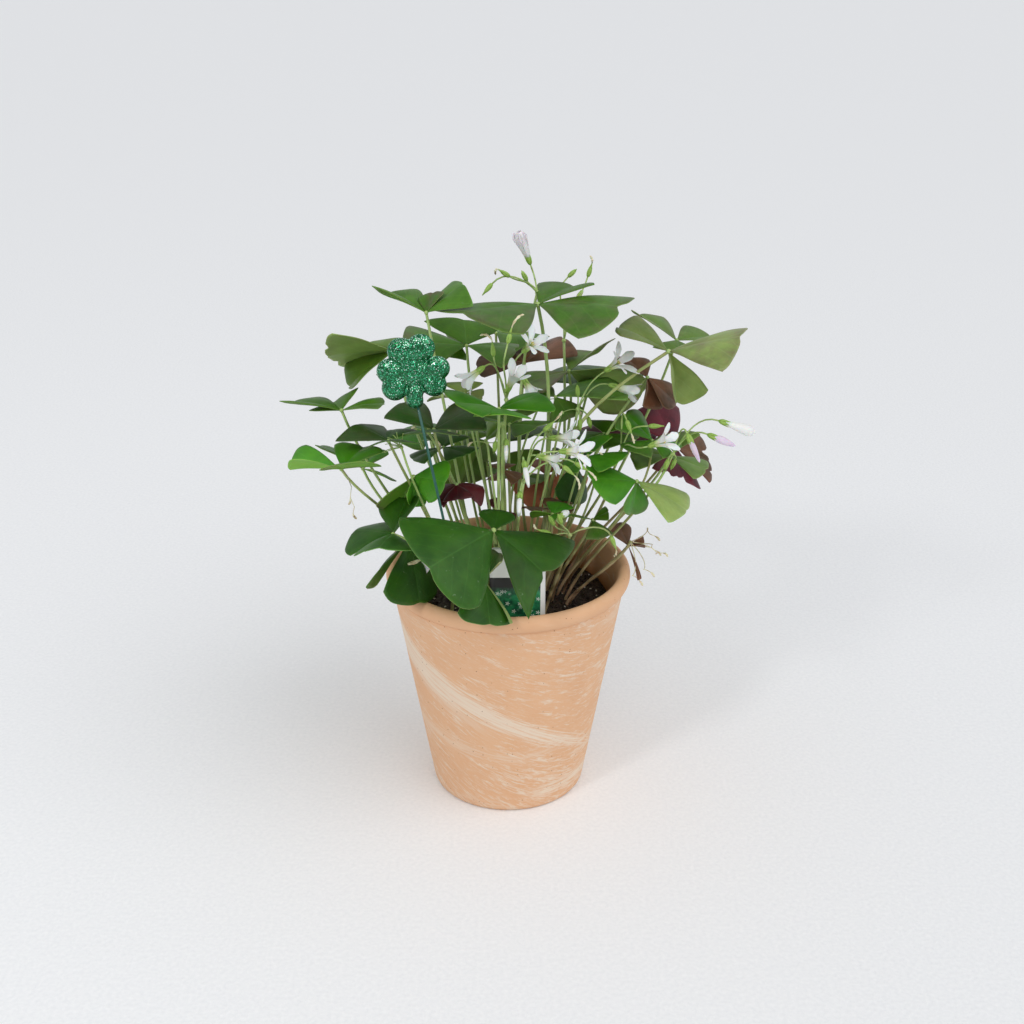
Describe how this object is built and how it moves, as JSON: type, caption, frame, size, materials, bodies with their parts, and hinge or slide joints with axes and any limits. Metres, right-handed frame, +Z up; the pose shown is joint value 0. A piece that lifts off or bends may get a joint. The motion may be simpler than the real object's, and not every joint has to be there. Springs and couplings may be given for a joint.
{
  "type": "potted shamrock plant",
  "caption": "Potted shamrock plant in bloom: thin-stalked leaves of heart-shaped leaflets and white funnel flowers in a marbled clay pot.",
  "frame": {"origin": "middle of the flat underside of the pot", "axes": "+Z up along the pot's axis; -Y to the front, where the plant label stands"},
  "size_m": [0.2715, 0.2422, 0.3449],
  "materials": {
    "terracotta": "matt unglazed clay with pale marbling",
    "soil": "dark crumbly peat with white specks",
    "bright": "soft satin leaf, bright green",
    "green": "soft satin leaf, green",
    "dark": "soft satin leaf, dark green",
    "olive": "soft satin leaf, olive green",
    "brown": "soft satin leaf, brown",
    "purple": "soft satin leaf, purple",
    "stalk": "satin pale green stalk",
    "petal": "soft white petal",
    "card": "white plastic card, bare at the top, printed leaf pattern below",
    "wire": "dark green lacquered wire",
    "glitter": "green glitter over foam"
  },
  "bodies": {
    "root": {"pot": "terracotta", "leaf_top_left": "green", "leaf_top_centre": "green", "leaf_upper_centre": "green", "leaf_upper_left": "olive", "leaf_far_left": "green", "leaf_left_dark": "dark", "leaf_left_bright": "bright", "leaf_left_small": "bright", "leaf_lower_left": "dark", "leaf_over_rim_left": "dark", "leaf_front": "dark", "leaf_on_rim": "dark", "leaf_middle_left": "dark", "leaf_middle": "bright", "leaf_middle_under": "green", "leaf_top_right": "green", "leaf_top_right_back": "olive", "leaf_mid_right": "olive", "leaf_brown_back": "brown", "leaf_brown_right": "brown", "leaf_purple_right": "purple", "leaf_right_bright": "bright", "leaf_inner_right": "bright", "leaf_right_olive": "olive", "leaf_hanging_dark": "dark", "leaf_inner_olive": "olive", "leaf_low_green": "bright", "leaf_inner_left": "olive", "leaf_low_right": "green", "leaf_rim_right": "brown", "leaf_back_left": "green", "leaf_back_centre": "green", "leaf_back_right": "dark", "leaf_back_low_left": "bright", "leaf_back_low_centre": "dark", "leaf_back_low_right": "purple", "leaf_low_purple_pair": "purple", "spray_centre": "stalk", "spray_mid_right": "stalk", "spray_front": "stalk", "spray_right": "stalk", "spray_inner_right": "stalk", "spray_hanging": "stalk", "spray_top": "stalk", "spray_back": "stalk", "corolla_left": "petal", "corolla_cup": "petal", "corolla_star": "petal", "corolla_right": "petal", "corolla_upper_right": "petal", "corolla_tube_right": "petal", "corolla_front_low": "petal", "corolla_front_high": "petal", "corolla_front_right": "petal", "corolla_right_low": "petal", "plant_label": "card", "pick_shamrock": "glitter", "pick_wire": "wire", "potting_soil": "soil"}
  },
  "joints": []
}
